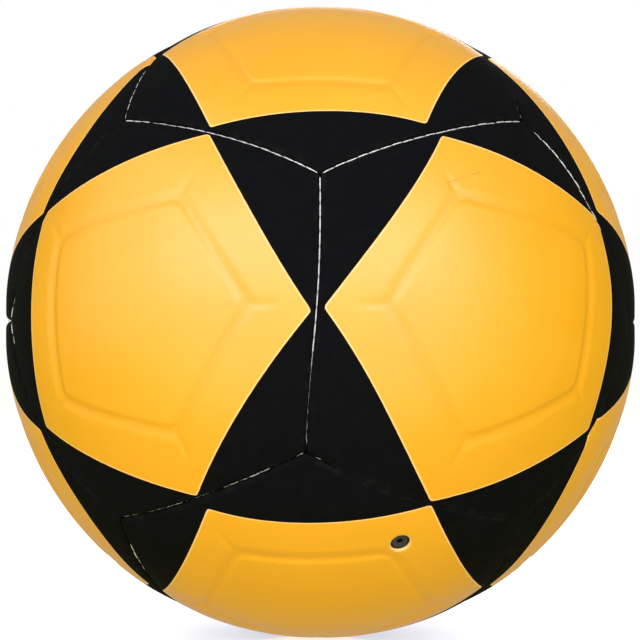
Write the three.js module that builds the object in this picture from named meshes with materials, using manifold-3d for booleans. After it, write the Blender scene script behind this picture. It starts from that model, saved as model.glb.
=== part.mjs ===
// A footvolley ball: twelve five-sided panels stitched edge to edge over an inflated bladder.
// Millimetres. Origin at the centre of the ball, +Z up, -Y towards the viewer. The X, Y and Z axes
// each pass through the middle of a seam.
import * as THREE from "three";
import { mergeGeometries } from "three/addons/utils/BufferGeometryUtils.js";
import Module from "manifold-3d";

// Whole ball, over the crest of the panels
const BALL_DIAMETER = 220;

// Layers of a panel and the bladder, from the outside in
const COVER_THICKNESS = 1.2;
const FOAM_THICKNESS = 3;
const LINING_THICKNESS = 0.9;
const BLADDER_WALL = 0.8;
const LAYER_GAP = 0.3;

// Seams: the cover turns in at the edge of each panel and the thread lies between the turned edges
const THREAD_DIAMETER = 0.8;
const THREAD_CLEARANCE = 0.3;
const EDGE_ROUND = 2.4;
const EDGE_DROP = 1.5;

// Valve, on the bottom front panel
const VALVE_TILT = THREE.MathUtils.degToRad(22.6);
const VALVE_STEM_DIAMETER = 6.8;
const VALVE_RECESS = 0.8;
const VALVE_LENGTH = 15;
const VALVE_FLANGE_DIAMETER = 24;
const VALVE_FLANGE_THICKNESS = 1.2;
const VALVE_BOSS_DIAMETER = 8.4;
const VALVE_VENT_DIAMETER = 2;
const VALVE_CLEARANCE = 0.3;
const CORE_HEAD_DIAMETER = 4.4;
const CORE_HEAD_THICKNESS = 1.4;
const CORE_SHANK_DIAMETER = 3;
const CORE_BULB_DIAMETER = 4;
const CORE_BULB_LENGTH = 2.6;
const NEEDLE_GUIDE_DIAMETER = 2.2;
const NEEDLE_GUIDE_DEPTH = 6;

// Fineness of the facets
const SIDE_STEPS = 4;
const RINGS = 3;
const THREAD_STEPS = 6;
const THREAD_SIDES = 6;
const ROUND_STEPS = 20;
const WELD_DISTANCE = 0.003;

// A panel spans this angle from its middle to the middle of a side
const SIDES = 5;
const SIDE_TURN = (2 * Math.PI) / SIDES;
const GOLDEN = (1 + Math.sqrt(5)) / 2;
const FACE_ANGLE = Math.atan(1 / GOLDEN);

// Radii of the layers
const COVER_OUT = BALL_DIAMETER / 2;
const COVER_IN = COVER_OUT - COVER_THICKNESS;
const FOAM_OUT = COVER_IN - LAYER_GAP;
const FOAM_IN = FOAM_OUT - FOAM_THICKNESS;
const LINING_OUT = FOAM_IN - LAYER_GAP;
const LINING_IN = LINING_OUT - LINING_THICKNESS;
const BLADDER_OUT = LINING_IN - LAYER_GAP - 0.05;
const BLADDER_IN = BLADDER_OUT - BLADDER_WALL;

// Distances from the middle of a seam to the turned edge and to the layers inside it
const EDGE_INSET = THREAD_DIAMETER / 2 + THREAD_CLEARANCE;
const TURNED_INSET = EDGE_INSET + COVER_THICKNESS;
const LAYER_INSET = TURNED_INSET + LAYER_GAP;

// Places of the panels, each with the direction it faces
const FACING = {
  front_left: [-1, -GOLDEN, 0],
  front_right: [1, -GOLDEN, 0],
  back_left: [-1, GOLDEN, 0],
  back_right: [1, GOLDEN, 0],
  top_front: [0, -1, GOLDEN],
  top_back: [0, 1, GOLDEN],
  bottom_front: [0, -1, -GOLDEN],
  bottom_back: [0, 1, -GOLDEN],
  left_top: [-GOLDEN, 0, 1],
  left_bottom: [-GOLDEN, 0, -1],
  right_top: [GOLDEN, 0, 1],
  right_bottom: [GOLDEN, 0, -1],
};
const VALVE_PANEL = "bottom_front";
const VALVE_SIDE = "front_right";
const FAR_PANEL = "top_back";

const MATERIALS = {
  cover: new THREE.MeshStandardMaterial({ color: 0xf2a61c, roughness: 0.5, name: "cover" }),
  foam: new THREE.MeshStandardMaterial({ color: 0xe9e6dc, roughness: 0.9, name: "foam" }),
  lining: new THREE.MeshStandardMaterial({ color: 0xd8d2c2, roughness: 0.9, name: "lining" }),
  thread: new THREE.MeshStandardMaterial({ color: 0xb4b4b2, roughness: 0.7, name: "thread" }),
  bladder: new THREE.MeshStandardMaterial({ color: 0x2b2b2d, roughness: 0.6, name: "bladder" }),
  valve: new THREE.MeshStandardMaterial({ color: 0x4a4a4c, roughness: 0.6, name: "valve" }),
  core: new THREE.MeshStandardMaterial({ color: 0x303032, roughness: 0.6, name: "core" }),
};

const wasm = await Module();
wasm.setup();

const ball = new THREE.Group();
ball.name = "footvolley_ball";

function direction(place) {
  return new THREE.Vector3(...FACING[place]).normalize();
}

function areNeighbours(a, b) {
  const between = direction(a).angleTo(direction(b));
  return Math.abs(between - 2 * FACE_ANGLE) < 0.01;
}

function neighboursOf(place) {
  return Object.keys(FACING).filter((other) => areNeighbours(place, other));
}

// Keeps the positions of a geometry, joins points closer than the weld distance and leaves out
// triangles that collapsed.
function closedGeometry(geometry) {
  const position = geometry.getAttribute("position");
  const points = [];
  const joined = Array.from({ length: position.count }, (_, i) => {
    const point = new THREE.Vector3().fromBufferAttribute(position, i);
    const known = points.findIndex((other) => other.distanceTo(point) < WELD_DISTANCE);
    return known >= 0 ? known : points.push(point) - 1;
  });
  const corners = geometry.getIndex() ? [...geometry.getIndex().array] : [...joined.keys()];
  const kept = [];
  for (let i = 0; i < corners.length; i += 3) {
    const [a, b, c] = corners.slice(i, i + 3).map((corner) => joined[corner]);
    if (a !== b && b !== c && c !== a) kept.push(a, b, c);
  }
  return new THREE.BufferGeometry().setFromPoints(points).setIndex(kept);
}

function toManifold(geometry) {
  const closed = closedGeometry(geometry);
  const vertProperties = new Float32Array(closed.getAttribute("position").array);
  const triVerts = new Uint32Array(closed.getIndex().array);
  return new wasm.Manifold(new wasm.Mesh({ numProp: 3, vertProperties, triVerts }));
}

function fromManifold(manifold) {
  const mesh = manifold.getMesh();
  const geometry = new THREE.BufferGeometry();
  geometry.setAttribute("position", new THREE.BufferAttribute(mesh.vertProperties, 3));
  geometry.setIndex(new THREE.BufferAttribute(mesh.triVerts, 1));
  return geometry;
}

function addPiece(name, geometry, material) {
  const closed = closedGeometry(geometry);
  closed.computeVertexNormals();
  const mesh = new THREE.Mesh(closed, MATERIALS[material]);
  mesh.name = name;
  ball.add(mesh);
}

// Turns a profile of [angle from the panel's axis, radius] pairs, middle first, into an open sheet
// whose rings are spherical pentagons around +Z. It faces away from the ball's centre.
function pentagonLathe(profile) {
  const points = profile.map(([angle, radius]) => new THREE.Vector2(angle, radius));
  const geometry = new THREE.LatheGeometry(points, SIDES * SIDE_STEPS);
  const position = geometry.getAttribute("position");
  const point = new THREE.Vector3();
  for (let i = 0; i < position.count; i++) {
    point.fromBufferAttribute(position, i);
    const angle = Math.hypot(point.x, point.z);
    const turn = Math.atan2(point.z, point.x);
    const radius = point.y;
    const offMiddle = THREE.MathUtils.euclideanModulo(turn + SIDE_TURN / 2, SIDE_TURN) - SIDE_TURN / 2;
    const reach = Math.tan(angle) / Math.cos(offMiddle);
    point.set(reach * Math.cos(turn), reach * Math.sin(turn), 1).setLength(radius);
    position.setXYZ(i, point.x, point.y, point.z);
  }
  return geometry;
}

function flipped(geometry) {
  const index = geometry.getIndex();
  for (let i = 0; i < index.count; i += 3) {
    const first = index.getX(i);
    index.setX(i, index.getX(i + 1));
    index.setX(i + 1, first);
  }
  return geometry;
}

// A closed shell between two sheets that end on the same ring
function pentagonShell({ outside, inside }) {
  return mergeGeometries([pentagonLathe(outside), flipped(pentagonLathe(inside))]);
}

// Profile points: part of the way across a panel, or at a distance from the middle of the seam.
function across(share, radius) {
  return [FACE_ANGLE * share, radius];
}

function fromSeam(inset, radius) {
  return [FACE_ANGLE - Math.asin(inset / radius), radius];
}

// Rings of a curved surface from the middle of a panel outwards, without the last ring at the edge.
function surfaceRings(radius) {
  return Array.from({ length: RINGS }, (_, i) => across(i / RINGS, radius));
}

function coverSheets() {
  const turnedEnd = fromSeam(TURNED_INSET, LINING_IN);
  const outside = [
    ...surfaceRings(COVER_OUT),
    fromSeam(EDGE_INSET + EDGE_ROUND, COVER_OUT),
    fromSeam(EDGE_INSET + EDGE_ROUND * 0.3, COVER_OUT - EDGE_DROP * 0.3),
    fromSeam(EDGE_INSET, COVER_OUT - EDGE_DROP),
    fromSeam(EDGE_INSET, LINING_IN),
    turnedEnd,
  ];
  const inside = [...surfaceRings(COVER_IN), fromSeam(TURNED_INSET, COVER_IN), turnedEnd];
  return { outside, inside };
}

function layerSheets(outer, inner) {
  const end = fromSeam(LAYER_INSET, inner);
  const outside = [...surfaceRings(outer), fromSeam(LAYER_INSET, outer), end];
  const inside = [...surfaceRings(inner), end];
  return { outside, inside };
}

// Sets a solid made around +Z on its panel, with a side's middle towards one neighbour.
function panelFrame(place, towards) {
  const z = direction(place);
  const x = direction(towards).addScaledVector(z, -z.dot(direction(towards))).normalize();
  const y = new THREE.Vector3().crossVectors(z, x);
  return new THREE.Matrix4().makeBasis(x, y, z);
}

function frameOf(place) {
  return panelFrame(place, place === VALVE_PANEL ? VALVE_SIDE : neighboursOf(place)[0]);
}

// The valve stands along a radius of the ball, tilted from its panel's axis towards one side.
const valveFrame = frameOf(VALVE_PANEL).multiply(new THREE.Matrix4().makeRotationY(VALVE_TILT));

function valveHole() {
  const radius = VALVE_STEM_DIAMETER / 2 + VALVE_CLEARANCE;
  const drill = new THREE.CylinderGeometry(radius, radius, 2 * VALVE_LENGTH, ROUND_STEPS);
  drill.rotateX(Math.PI / 2);
  drill.translate(0, 0, COVER_OUT);
  drill.applyMatrix4(valveFrame);
  return toManifold(drill);
}

const hole = valveHole();

function addLayer(layer, sheets) {
  for (const place of Object.keys(FACING)) {
    let geometry = pentagonShell(sheets).applyMatrix4(frameOf(place));
    if (place === VALVE_PANEL) geometry = fromManifold(toManifold(geometry).subtract(hole));
    addPiece(`${layer}_${place}`, geometry, layer);
  }
}

addLayer("cover", coverSheets());
addLayer("foam", layerSheets(FOAM_OUT, FOAM_IN));
addLayer("lining", layerSheets(LINING_OUT, LINING_IN));

// A solid ball of twelve pentagon caps, faceted like the layers of the panels
function cappedBall(radius) {
  const profile = [...surfaceRings(radius), across(1, radius)];
  const caps = Object.keys(FACING).map((place) => pentagonLathe(profile).applyMatrix4(frameOf(place)));
  return toManifold(mergeGeometries(caps));
}

const bladder = cappedBall(BLADDER_OUT).subtract(cappedBall(BLADDER_IN)).subtract(hole);
addPiece("bladder", fromManifold(bladder), "bladder");

// Solid turned around the valve's axis. The profile is a closed loop of [radius, height] pairs.
function addTurned(name, profile, material) {
  const points = profile.map(([radius, height]) => new THREE.Vector2(radius, height));
  if (THREE.ShapeUtils.isClockWise(points)) points.reverse();
  const geometry = new THREE.LatheGeometry(points, ROUND_STEPS);
  geometry.rotateX(Math.PI / 2);
  addPiece(name, geometry.applyMatrix4(valveFrame), material);
}

// Height on a dome of this radius at a distance from its axis
function domeHeight(radius, out) {
  return Math.sqrt(radius * radius - out * out);
}

const valveTop = COVER_OUT - VALVE_RECESS;
const valveBottom = valveTop - VALVE_LENGTH;
const headSeat = valveTop - CORE_HEAD_THICKNESS;
const chamberFloor = valveBottom + 1.5;
const chamberTop = chamberFloor + CORE_BULB_LENGTH + 2 * VALVE_CLEARANCE;
const flangeDome = BLADDER_IN - 0.9;
const flangeUnder = flangeDome - VALVE_FLANGE_THICKNESS;

function valveBodyProfile() {
  const stem = VALVE_STEM_DIAMETER / 2;
  const rim = VALVE_FLANGE_DIAMETER / 2;
  const boss = VALVE_BOSS_DIAMETER / 2;
  const vent = VALVE_VENT_DIAMETER / 2;
  const head = CORE_HEAD_DIAMETER / 2 + VALVE_CLEARANCE;
  const shank = CORE_SHANK_DIAMETER / 2 + VALVE_CLEARANCE;
  const bulb = CORE_BULB_DIAMETER / 2 + VALVE_CLEARANCE;
  return [
    [head, valveTop],
    [stem, valveTop],
    [stem, domeHeight(flangeDome, stem)],
    [rim, domeHeight(flangeDome, rim)],
    [rim, domeHeight(flangeUnder, rim)],
    [boss, domeHeight(flangeUnder, boss)],
    [boss, valveBottom],
    [vent, valveBottom],
    [vent, chamberFloor],
    [bulb, chamberFloor],
    [bulb, chamberTop],
    [shank, chamberTop],
    [shank, headSeat],
    [head, headSeat],
    [head, valveTop],
  ];
}

function valveCoreProfile() {
  const guide = NEEDLE_GUIDE_DIAMETER / 2;
  const head = CORE_HEAD_DIAMETER / 2;
  const shank = CORE_SHANK_DIAMETER / 2;
  const bulb = CORE_BULB_DIAMETER / 2;
  return [
    [0, valveTop - NEEDLE_GUIDE_DEPTH],
    [guide * 0.4, valveTop - NEEDLE_GUIDE_DEPTH],
    [guide * 0.6, headSeat],
    [guide, valveTop],
    [head, valveTop],
    [head, headSeat + VALVE_CLEARANCE],
    [shank, headSeat + VALVE_CLEARANCE],
    [shank, chamberTop - VALVE_CLEARANCE],
    [bulb, chamberTop - VALVE_CLEARANCE],
    [bulb, chamberFloor + VALVE_CLEARANCE],
    [0, chamberFloor + VALVE_CLEARANCE],
  ];
}

addTurned("valve_body", valveBodyProfile(), "valve");
addTurned("valve_core", valveCoreProfile(), "core");

// Path along the seams through a list of panel corners, at one depth below the crest.
class SeamPath extends THREE.Curve {
  constructor(corners, trim = 0) {
    super();
    this.corners = corners;
    this.trim = trim;
    this.radius = COVER_OUT - EDGE_DROP - THREAD_DIAMETER / 2;
  }

  getPoint(t, target = new THREE.Vector3()) {
    const edges = this.corners.length - 1;
    const share = this.trim + t * (1 - 2 * this.trim);
    const along = Math.min(Math.max(share * edges, 0), edges);
    const edge = Math.min(Math.floor(along), edges - 1);
    const [from, to] = [this.corners[edge], this.corners[edge + 1]];
    const span = from.angleTo(to);
    const part = along - edge;
    return target
      .copy(from)
      .multiplyScalar(Math.sin((1 - part) * span))
      .addScaledVector(to, Math.sin(part * span))
      .setLength(this.radius);
  }

  getPointAt(u, target) {
    return this.getPoint(u, target);
  }
}

// The corner where three panels meet
function corner(a, b, c) {
  return direction(a).add(direction(b)).add(direction(c)).normalize();
}

// A thread that closes on itself, as a hexagonal section carried from corner to corner
function threadLoop(corners) {
  const path = new SeamPath([...corners, corners[0]]);
  const steps = corners.length * THREAD_STEPS;
  return new THREE.TubeGeometry(path, steps, THREAD_DIAMETER / 2, THREAD_SIDES, true);
}

// A thread with two cut ends that stop short of the threads across its ends
function threadLength(from, to) {
  const span = from.angleTo(to) * COVER_OUT;
  const path = new SeamPath([from, to], (THREAD_DIAMETER * 1.5 + THREAD_CLEARANCE) / span);
  const section = new THREE.Shape();
  section.absarc(0, 0, THREAD_DIAMETER / 2, 0, 2 * Math.PI);
  return new THREE.ExtrudeGeometry(section, {
    steps: THREAD_STEPS,
    curveSegments: THREAD_SIDES,
    extrudePath: path,
  });
}

// The five panels around one, in order round its axis
function petalsOf(place) {
  const around = neighboursOf(place);
  const ordered = [around[0]];
  while (ordered.length < SIDES) {
    const last = ordered[ordered.length - 1];
    ordered.push(around.find((other) => !ordered.includes(other) && areNeighbours(other, last)));
  }
  return ordered;
}

// Each cup is one panel with five petals: a ring seam and five side seams. The zigzag closing seam
// joins the two cups.
const rimCorners = [];
for (const [cup, place] of [["valve_cup", VALVE_PANEL], ["far_cup", FAR_PANEL]]) {
  const petals = petalsOf(place);
  const pairs = petals.map((petal, i) => [petal, petals[(i + 1) % SIDES]]);
  const ring = pairs.map(([a, b]) => corner(place, a, b));
  addPiece(`thread_${cup}_ring`, threadLoop(ring), "thread");
  pairs.forEach(([a, b], i) => {
    const beyond = neighboursOf(a).find((other) => other !== place && areNeighbours(other, b));
    const outer = corner(a, b, beyond);
    rimCorners.push(outer);
    addPiece(`thread_${cup}_side_${i + 1}`, threadLength(ring[i], outer), "thread");
  });
}

function closingCorners() {
  const axis = direction(FAR_PANEL);
  const start = rimCorners[0].clone().projectOnPlane(axis).normalize();
  const across90 = new THREE.Vector3().crossVectors(axis, start);
  const turn = (point) => Math.atan2(point.dot(across90), point.dot(start));
  return [...rimCorners].sort((a, b) => turn(a) - turn(b));
}

addPiece("thread_closing_seam", threadLoop(closingCorners()), "thread");

export default ball;
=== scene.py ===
"""Footvolley ball: a printed, stitched cover over foam, lining and bladder, in a pale studio."""
import itertools
import math

import bmesh
import bpy
import numpy as np
from mathutils import Matrix, Vector


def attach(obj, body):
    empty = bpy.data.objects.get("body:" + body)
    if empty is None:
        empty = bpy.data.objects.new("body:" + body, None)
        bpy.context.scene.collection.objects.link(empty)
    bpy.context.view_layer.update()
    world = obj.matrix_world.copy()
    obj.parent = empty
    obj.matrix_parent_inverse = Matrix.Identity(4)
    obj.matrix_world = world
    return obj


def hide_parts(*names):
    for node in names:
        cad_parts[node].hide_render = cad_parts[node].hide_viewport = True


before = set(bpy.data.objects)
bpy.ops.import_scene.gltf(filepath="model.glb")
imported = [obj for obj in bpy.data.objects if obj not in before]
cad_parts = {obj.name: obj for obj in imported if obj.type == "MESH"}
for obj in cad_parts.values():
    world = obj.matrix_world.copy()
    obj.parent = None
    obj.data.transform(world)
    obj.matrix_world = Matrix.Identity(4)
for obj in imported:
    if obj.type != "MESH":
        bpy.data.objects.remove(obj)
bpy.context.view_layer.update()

MM = 0.001
TINY = 1e-9

# The ball, in millimetres: radii of its layers from the outside in
CREST = 110.0
COVER_IN = 108.85
FOAM_OUT, FOAM_IN = 108.55, 105.6
LINING_OUT, LINING_IN = 105.2, 104.4
BLADDER_OUT, BLADDER_WALL = 103.9, 0.75
TURNED_BEND, TURNED_END = 107.0, 104.5

# Seams: half widths of the gap, how fast it closes, its unevenness, and the panels' edges beside it
SEAM_SHUT, SEAM_OPEN, SEAM_WIDEST = 0.012, 0.40, 0.46
SEAM_CLOSING = 1.05
SEAM_WANDER, OPEN_SEAM_WANDER = 0.26, 0.35
EDGE_INSET = 0.42
TURNED_INSET = 1.5
LAYER_INSET = 2.2
EDGE_ROUND = 2.3
EDGE_DROP = 1.45
FLUSH_SHARE = 0.85
FLUSH_FROM, FLUSH_AT = 0.95, 1.2
PILLOW_DROP, PILLOW_REACH = 0.45, 8.0

# Stitches lying in the seams, deeper where the edges close tightly over them
STITCH_PITCH = 4.1
STITCH_LENGTH = 4.3
STITCH_RADIUS = 0.22
STITCH_BLUNTNESS = 5
STITCH_DIP = 0.12
STITCH_SIDES, STITCH_RINGS = 6, 7
STITCH_DEPTH = 1.85
STITCH_LEVEL_AT = 0.4
STITCH_SINK = 0.9
STITCH_UNEVEN, STITCH_PHASE = 0.3, 1.0
STITCH_RISE = 1.0
STITCH_CORNER_GAP = 0.9

# Print: yellow field inside black corners, with sides drawn in at their middle
PRINT_INSET_CORNER = 1.35
PRINT_INSET_MIDDLE = 2.95
PRINT_HALF_SIDE = math.radians(18)
PRINT_CORNER_BEND = 3.0
PRINT_TIP = 1.8
TIP_DROP = 0.6

# Pressed line: a five-sided groove inside the yellow field, with a tick at each corner
LINE_CORNER = math.radians(20.7)
TICK_END = math.radians(26.5)
TICK_LEAD = 0.02
LINE_INSIDE, LINE_OUTSIDE = 2.0, 4.2
TICK_HALF_WIDTH = 2.2
LINE_DEPTH = 0.55
LINE_BEND = 90.0

# Pressed lines: sides that are pressed faintly, by panel and the two neighbours whose corner the side faces
LINES_FAINT = ("front_left left_top top_front", "front_right right_top top_front")
LINES_FAINT_SHARE = 0.6
LINES_FAINT_REACH = math.radians(13)

# A scratch on one panel: its ends in the photo, and where along it, as shares, it is deep
SCRATCH_PANEL = "front_right"
SCRATCH_SEEN = ((446, 183), (481, 172))
SCRATCH_HALF_WIDTH = 0.3
SCRATCH_FAINT = 0.25
SCRATCH_DEEPEST = 0.2
SCRATCH_AGAIN = 0.87

# Valve
VALVE_TILT = math.radians(22.6)
VALVE_HOLE = 3.65
VALVE_MOUTH = 3.05
VALVE_LIP = 1.1
VALVE_LIP_DROP = 0.65
# The pale ring round the valve hole, where it starts off the mouth and the span over which it fades: the
# cover's cut edge, partly a painted highlight on the lip
VALVE_PALE_LIP_START, VALVE_RIM = 0.1, 0.45
VALVE_LINE_FREE = 6.0
VALVE_STILL = 12.0
LAYER_HOLE = VALVE_HOLE + 0.2
VALVE_FACE = CREST - 0.85
VALVE_LENGTH = 15.0
VALVE_FOOT = VALVE_FACE - VALVE_LENGTH
FLANGE_GAP = 0.15
FLANGE = BLADDER_OUT - BLADDER_WALL - FLANGE_GAP

# Panels
SIDES = 5
GOLDEN = (1 + math.sqrt(5)) / 2
FACE_ANGLE = math.atan(1 / GOLDEN)
SAME_ANGLE = 0.01
SIDE_TURNS = np.arange(SIDES) * 2 * math.pi / SIDES
FACING = {
    "front_left": (-1, -GOLDEN, 0),
    "front_right": (1, -GOLDEN, 0),
    "back_left": (-1, GOLDEN, 0),
    "back_right": (1, GOLDEN, 0),
    "top_front": (0, -1, GOLDEN),
    "top_back": (0, 1, GOLDEN),
    "bottom_front": (0, -1, -GOLDEN),
    "bottom_back": (0, 1, -GOLDEN),
    "left_top": (-GOLDEN, 0, 1),
    "left_bottom": (-GOLDEN, 0, -1),
    "right_top": (GOLDEN, 0, 1),
    "right_bottom": (GOLDEN, 0, -1),
}
VALVE_PANEL, VALVE_SIDE, FAR_PANEL = "bottom_front", "front_right", "top_back"

# Camera, as photographed, in millimetres, degrees and the photo's pixels
CAMERA_DISTANCE = 558.5
CAMERA_NEAR = 10.0
CAMERA_TURN = {"X": 1.14, "Y": -0.20, "Z": 0.24}
PHOTO_SIZE = 640
PHOTO_FOCAL = 1571.2
PHOTO_MIDDLE = np.array([320.4, 322.2])

# Hand sewing: places in the photo, in its pixels, that seam corners and points along seams were seen at
SEAMS_SEEN = {
    "front_left front_right top_front": (320, 174.5),
    "front_left front_right": (316, 314),
    "front_left front_right bottom_front": (306, 452),
    "front_left top_front": (209, 132),
    "front_left top_front left_top": (122.5, 119),
    "front_right top_front": (436, 131),
    "front_right top_front right_top": (524, 119.5),
    "front_left bottom_front": (200, 498),
    "front_left bottom_front left_bottom": (119, 519),
    "front_right bottom_front": (431, 503),
    "front_left left_top": (45, 214),
    "front_left left_bottom": (44, 428),
    "front_right right_top": (594.5, 215),
    "front_right right_bottom": (589, 426.5),
    "top_front left_top": (158, 59),
    "top_front right_top": (486, 58.5),
    "bottom_front left_bottom": (156, 587),
    "bottom_front right_bottom": (485.5, 586),
}

# Hand sewing: how tightly the edges close over the thread at each corner and side middle. A seam is open
# at 0, shut at 1 and nearly flush at 1.2. Below 0 the thread rises, and a value above 1.2 reaches further
# along its seam. A name with a stroke is the half of a side towards the panel after the stroke.
SEWN_TIGHT_USUAL = 0.5
SEWN_TIGHT = {
    "front_left front_right top_front": 0.2,
    "front_left front_right": 0.35,
    "front_left front_right/bottom_front": 0.85,
    "front_left front_right bottom_front": 0.8,
    "front_left top_front": 0.3,
    "front_left top_front left_top": 0.2,
    "front_left top_front/left_top": 0.5,
    "front_right top_front": 0.3,
    "front_right top_front right_top": 0.15,
    "front_left bottom_front": 0.82,
    "front_left bottom_front/front_right": 0.68,
    "front_left bottom_front left_bottom": 0.7,
    "front_right bottom_front": 1.2,
    "front_right bottom_front/front_left": 2.2,
    "front_right bottom_front right_bottom": 1.2,
    "front_left left_top": 0.9,
    "front_left left_top/top_front": 1.1,
    "front_left left_top/left_bottom": 1.3,
    "front_left left_bottom": 0.9,
    "front_left left_bottom/bottom_front": 0.75,
    "front_left left_bottom/left_top": -0.1,
    "front_left left_top left_bottom": -0.8,
    "front_right right_top": -0.2,
    "front_right right_top/top_front": -1.5,
    "front_right right_top/right_bottom": 1.2,
    "front_right right_bottom": 1.1,
    "front_right right_top right_bottom": 1.2,
    "right_top right_bottom": 1.2,
    "top_front left_top": -0.05,
    "top_front left_top/front_left": 0.0,
    "top_front right_top": 1.2,
    "top_front right_top/front_right": 2.2,
    "bottom_front left_bottom": -0.05,
    "bottom_front left_bottom/front_left": -0.05,
    "bottom_front right_bottom": 1.1,
}
TIGHT_NEAREST, TIGHT_FALLOFF = 0.02, 3.0

# Unevenness of the sewing: heights of two pairs of waves, with their radians to a mm and turns of phase
WANDER_WAVES = (
    (0.6, ((0.9, 0.5, -0.7), 1), ((-0.3, 0.6, 0.8), 2)),
    (0.7, ((2.3, -1.7, 1.1), 3), ((1.3, 2.6, 1.9), 1)),
)

# Print: places in the photo that the yellow fields were seen at. A corner is named by its panel and the
# neighbour it points at, a side by its panel and the two neighbours whose corner it faces.
FIELDS_SEEN = {
    "front_left top_front": (209, 134),
    "front_left front_right": (311, 310.5),
    "front_left bottom_front": (196.5, 495.5),
    "front_left left_bottom": (47, 426),
    "front_left left_top": (45.5, 214.5),
    "front_left top_front front_right": (260, 226),
    "front_left front_right bottom_front": (243, 405),
    "front_left bottom_front left_bottom": (110, 465.5),
    "front_left left_bottom left_top": (31.5, 320),
    "front_left left_top top_front": (120, 170),
    "front_right top_front": (442, 136.5),
    "front_right front_left": (324, 307),
    "front_right bottom_front": (431, 501.5),
    "front_right right_bottom": (587, 429),
    "front_right right_top": (596.5, 219),
    "front_right top_front front_left": (390, 220),
    "front_right front_left bottom_front": (380, 401),
    "front_right bottom_front right_bottom": (520, 467),
    "front_right right_bottom right_top": (612, 318),
    "front_right right_top top_front": (520, 169.5),
    "top_front front_left": (210.5, 127.5),
    "top_front front_right": (426, 124),
    "top_front left_top": (164, 57),
    "top_front right_top": (483, 56.5),
    "top_front front_left front_right": (318, 111),
    "top_front left_top front_left": (190, 90),
    "top_front front_right right_top": (450, 82.5),
    "bottom_front front_left": (207.5, 508.5),
    "bottom_front front_right": (431, 505),
    "bottom_front left_bottom": (161, 592),
    "bottom_front right_bottom": (481.5, 586),
    "bottom_front front_left front_right": (318, 523),
    "bottom_front left_bottom front_left": (185, 560),
    "bottom_front front_right right_bottom": (460, 560.5),
    "left_top front_left": (44, 213.5),
    "left_top top_front": (157, 58),
    "left_top front_left top_front": (97, 114),
    "left_bottom front_left": (40, 430),
    "left_bottom bottom_front": (149, 583.5),
    "left_bottom front_left bottom_front": (89, 524),
    "right_top front_right": (596.5, 211),
    "right_top top_front": (487.5, 60),
    "right_top front_right top_front": (551, 116.5),
    "right_bottom front_right": (593, 423),
    "right_bottom bottom_front": (490, 585),
    "right_bottom front_right bottom_front": (547, 524),
}

# Pressed lines: places in the photo that the ring's corners were seen at, named by panel and neighbour
LINES_SEEN = {
    "front_left top_front": (180, 198),
    "front_left front_right": (247, 303),
    "front_left bottom_front": (177, 432),
    "front_left left_bottom": (64, 397),
    "front_left left_top": (62, 239),
    "front_right top_front": (458, 197),
    "front_right front_left": (389, 304),
    "front_right bottom_front": (465, 439.5),
    "front_right right_bottom": (575, 389.5),
    "front_right right_top": (583.5, 242),
    "top_front front_left": (251, 85.5),
    "top_front front_right": (389.5, 86.5),
    "bottom_front front_left": (236.5, 552.5),
}

# How firmly a spot near the silhouette, which the photo shows poorly, keeps its regular place
LIMB_HOLD = 0.12

# How far a move that is known at one point draws the points round it
DRAWN_REACH = math.radians(22)

# A seam that faces the camera by more than this share shows its foot in the photo, and any other its top
FOOT_SEEN = 0.6

# Fineness of the grids, in steps from the middle of a panel to its edge
COVER_STEPS = 104
INNER_STEPS = 26
LAYER_STEPS = 30
EDGE_CROWDING = 1.22

# Fineness round the valve and of its turned pieces. A hole's rim is looked for within some of its radii
FINER_CUTS = 3
COVER_FINE_REACH = 2.6 * VALVE_HOLE
BLADDER_FINENESS, BLADDER_FINE_REACH = 5, 16.0
RIM_SEARCH = 3
TURNED_STEPS, MERGE_GAP = 48, 0.001


def direction(place):
    return Vector(FACING[place]).normalized()


def are_neighbours(a, b):
    return a != b and abs(direction(a).angle(direction(b)) - 2 * FACE_ANGLE) < SAME_ANGLE


def neighbours_of(place):
    return [other for other in FACING if are_neighbours(place, other)]


def panel_frame(place):
    """Axes of a panel as columns: z out of its middle, x towards the middle of one side."""
    z = direction(place)
    side = direction(VALVE_SIDE if place == VALVE_PANEL else neighbours_of(place)[0])
    x = (side - z * z.dot(side)).normalized()
    return np.array([x, z.cross(x), z]).T


def seam_point(names):
    """Middle of a seam between two panels, or the corner where three meet."""
    return sum((direction(place) for place in names.split()), Vector()).normalized()


def is_corner(names):
    return names.count(" ") == 2


def unit(way):
    return np.array(way) / np.linalg.norm(way)


def units(ways):
    return ways / np.linalg.norm(ways, axis=1, keepdims=True)


def around(polar):
    """Unit vectors at one angle from a panel's axis, towards each side's middle."""
    out = math.sin(polar)
    heights = np.full(SIDES, math.cos(polar))
    return np.column_stack([out * np.cos(SIDE_TURNS), out * np.sin(SIDE_TURNS), heights])


def angles_to(ways, points):
    return np.arccos(np.clip(ways @ np.array(points).T, -1, 1))


def across_and_along(point, way):
    """Two directions square to a point's own: the first as near as can be to another direction."""
    out = unit(point)
    first = unit(way - out * (out @ way))
    return np.array([first, np.cross(out, first)])


# The valve's direction in its panel's axes, and on the ball
VALVE_WAY = np.array([math.sin(VALVE_TILT), 0, math.cos(VALVE_TILT)])
VALVE_AXIS = panel_frame(VALVE_PANEL) @ VALVE_WAY


# The photo and the ball


def camera_turn():
    turn = Matrix.Identity(3)
    for axis, angle in CAMERA_TURN.items():
        turn = turn @ Matrix.Rotation(math.radians(angle), 3, axis)
    return turn


CAMERA_AXES = np.array(camera_turn())


def in_photo(point):
    """The photo's pixel that shows a point of the ball, in mm."""
    right, away, up = point @ CAMERA_AXES
    return PHOTO_MIDDLE + PHOTO_FOCAL * np.array([right, -up]) / (away + CAMERA_DISTANCE)


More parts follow.
